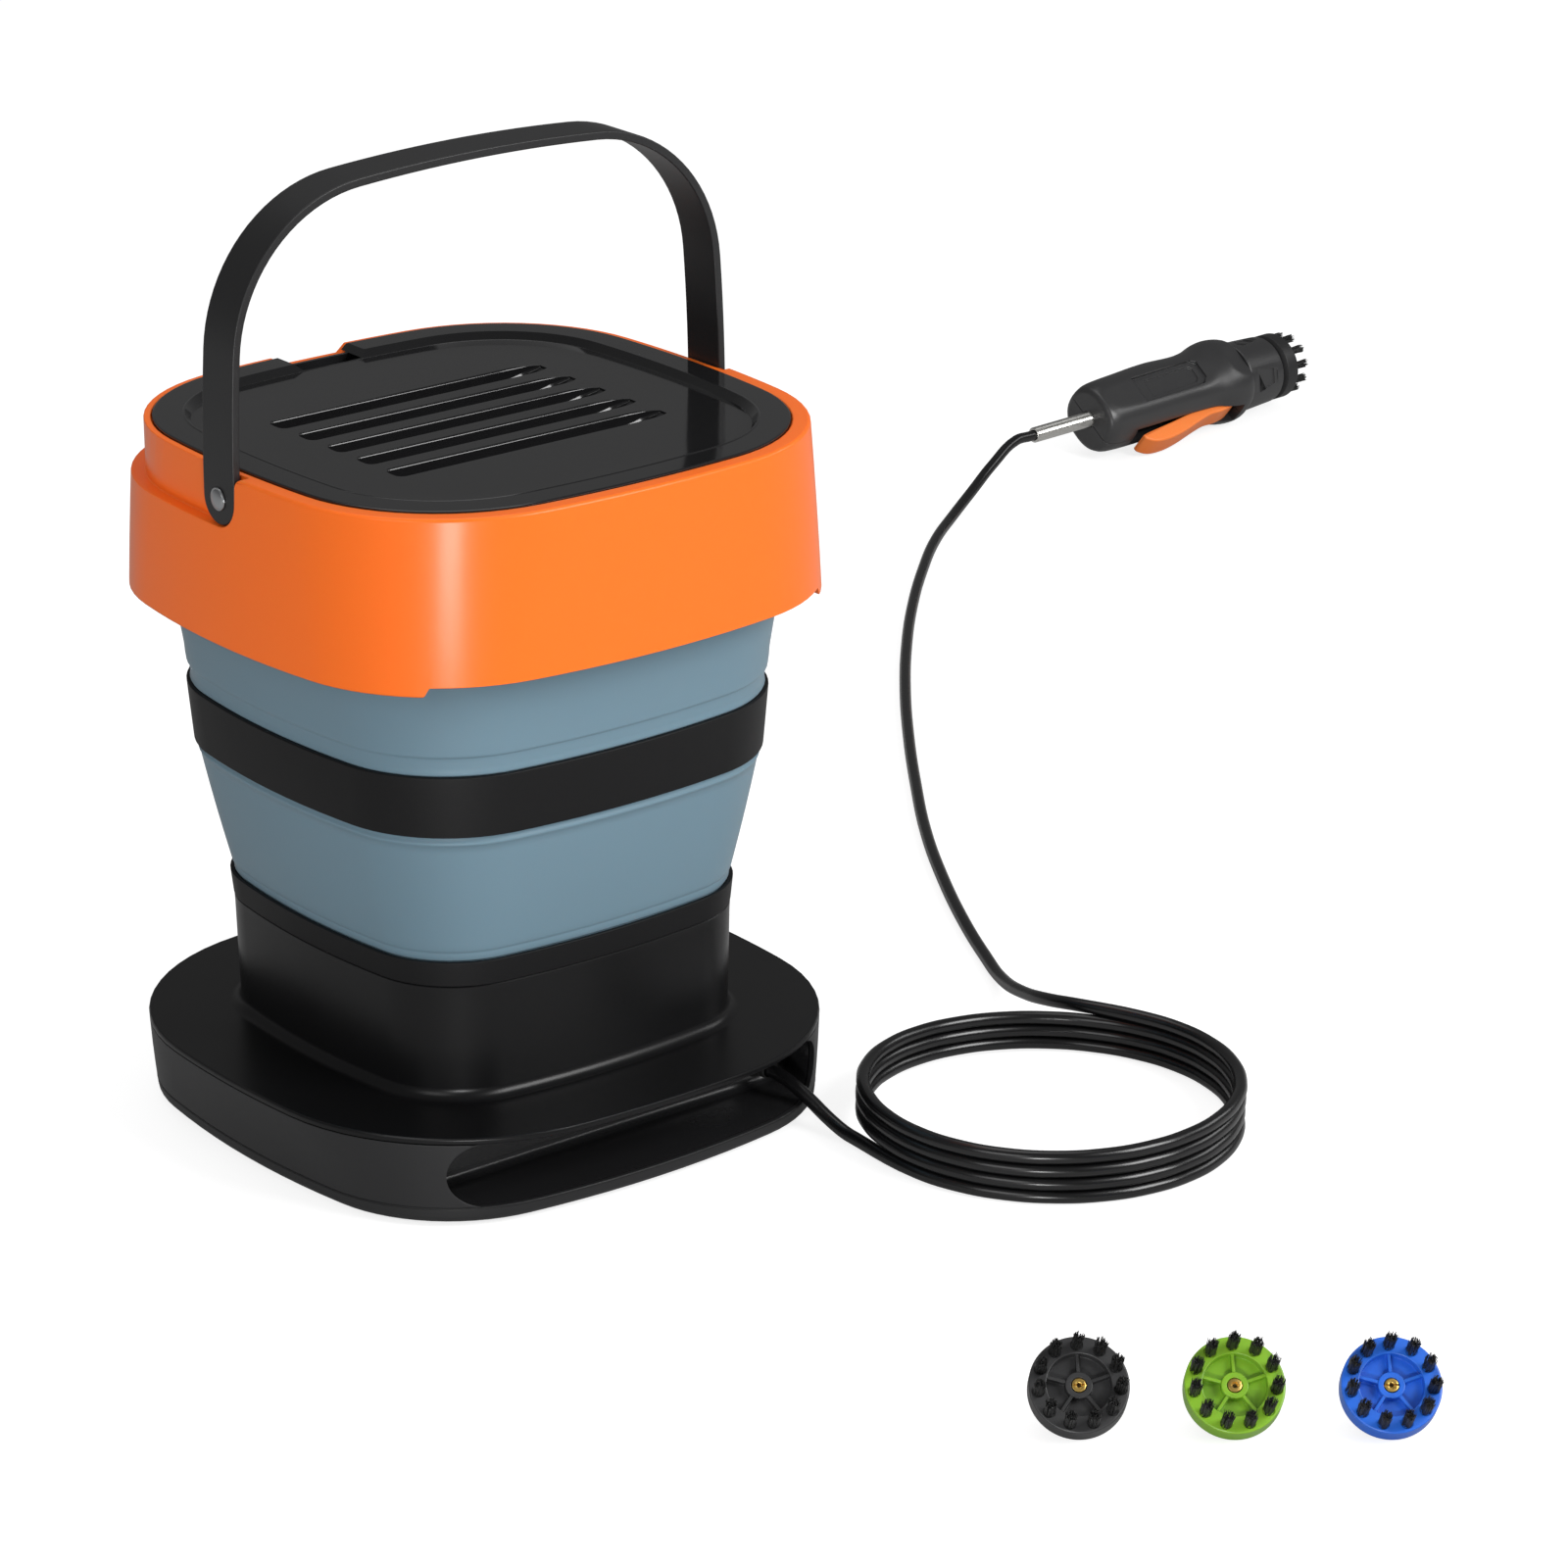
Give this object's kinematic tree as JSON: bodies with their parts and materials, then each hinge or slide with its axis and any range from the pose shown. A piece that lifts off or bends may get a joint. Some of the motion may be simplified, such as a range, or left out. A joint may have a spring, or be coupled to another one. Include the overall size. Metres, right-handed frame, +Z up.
{
  "type": "wallpaper steamer",
  "caption": "Wallpaper steamer: folding bucket tank on a base with a hose slot, lidded collar with carrying bail, coiled hose, trigger gun and interchangeable brush heads.",
  "frame": {"origin": "on the floor under the middle of the base", "axes": "+Z up; the storage slot of the base faces -Y; the carrying bail's axis runs along X"},
  "size_m": [1.2063, 1.1469, 0.4598],
  "materials": {
    "base_black": "satin moulded plastic",
    "rubber": "matt",
    "screw_steel": "plated",
    "aluminium": "cast",
    "pump_plastic": "moulded",
    "board_green": "lacquered laminate",
    "tube_silicone": "smooth silicone",
    "ring_black": "satin moulded plastic",
    "bellows_grey": "smooth soft elastomer",
    "collar_orange": "satin-gloss moulded plastic",
    "lid_grey": "polished moulded plastic",
    "bail_black": "satin moulded plastic",
    "rivet_steel": "turned",
    "hose_black": "smooth",
    "sleeve_steel": "polished",
    "gun_black": "fine texture",
    "trigger_orange": "satin-gloss moulded plastic",
    "brass": "turned",
    "head_black": "moulded",
    "head_green": "moulded",
    "head_blue": "moulded"
  },
  "bodies": {
    "base": {"base_pan": "base_black", "storage_bay": "base_black", "base_cover": "base_black", "power_switch": "base_black", "foot_1": "rubber", "foot_2": "rubber", "foot_3": "rubber", "foot_4": "rubber", "hose_gland": "rubber", "power_inlet": "rubber", "cover_screw_1": "screw_steel", "cover_screw_2": "screw_steel", "cover_screw_3": "screw_steel", "cover_screw_4": "screw_steel", "trigger_pin": "screw_steel", "boiler": "aluminium", "heater_plate": "aluminium", "pump": "pump_plastic", "inlet_strainer": "pump_plastic", "control_board": "board_green", "feed_tube": "tube_silicone", "pressure_tube": "tube_silicone", "steam_tube": "tube_silicone", "lower_ring": "ring_black", "tank_floor": "ring_black", "bellows_lower": "bellows_grey", "hose_lead": "hose_black", "hose_riser": "hose_black", "hose_coil": "hose_black", "spring_sleeve": "sleeve_steel", "gun_left_shell": "gun_black", "gun_right_shell": "gun_black", "gun_front_sleeve": "gun_black", "valve_body": "brass"},
    "mid_ring": {"mid_ring": "ring_black", "bellows_upper": "bellows_grey"},
    "collar": {"collar": "collar_orange", "clamp_ring": "ring_black", "rivet_left": "rivet_steel", "rivet_right": "rivet_steel"},
    "lid": {"lid": "lid_grey", "lid_seal": "rubber"},
    "bail": {"bail": "bail_black"},
    "trigger": {"trigger": "trigger_orange", "valve_stem": "brass"},
    "rocker": {"switch_rocker": "collar_orange"},
    "fitted_head": {"brush_head_fitted": "head_black", "nozzle_fitted": "brass"},
    "black_head": {"brush_head_black": "head_black", "nozzle_black": "brass"},
    "green_head": {"brush_head_green": "head_green", "nozzle_green": "brass"},
    "blue_head": {"brush_head_blue": "head_blue", "nozzle_blue": "brass"}
  },
  "joints": [
    {"name": "lower_bellows_fold", "type": "slide", "parent": "base", "child": "mid_ring", "axis": [0, 0, -1], "range_m": [0, 0.13], "deforming": ["bellows_lower"]},
    {"name": "upper_bellows_fold", "type": "slide", "parent": "mid_ring", "child": "collar", "axis": [0, 0, -1], "range_m": [0, 0.078], "deforming": ["bellows_upper"]},
    {"name": "lid_lift", "type": "slide", "parent": "collar", "child": "lid", "axis": [0, 0, 1], "range_m": [0, 0.045]},
    {"name": "bail_swing", "type": "hinge", "parent": "collar", "child": "bail", "pos_m": [0, 0, 0.3215], "axis": [-1, 0, 0], "range_deg": [0, 90]},
    {"name": "trigger_pull", "type": "hinge", "parent": "base", "child": "trigger", "pos_m": [0.9861, 0.55886, 0.0163], "axis": [-0.0494, 0.6274, -0.7771], "range_deg": [0, 8], "stiffness_Nm_per_rad": 0.5, "springref_deg": -17.19},
    {"name": "rocker_tilt", "type": "hinge", "parent": "base", "child": "rocker", "pos_m": [0.04494, 0.13707, 0.02422], "axis": [-0.9984, 0.0567, 0], "range_deg": [0, 16]},
    {"name": "fitted_head_pull", "type": "slide", "parent": "base", "child": "fitted_head", "axis": [0.9969, 0.0785, 0], "range_m": [0, 0.04]},
    {"name": "black_head_lift", "type": "slide", "parent": "base", "child": "black_head", "axis": [0, 0, 1], "range_m": [0, 0.05]},
    {"name": "green_head_lift", "type": "slide", "parent": "base", "child": "green_head", "axis": [0, 0, 1], "range_m": [0, 0.05]},
    {"name": "blue_head_lift", "type": "slide", "parent": "base", "child": "blue_head", "axis": [0, 0, 1], "range_m": [0, 0.05]}
  ]
}
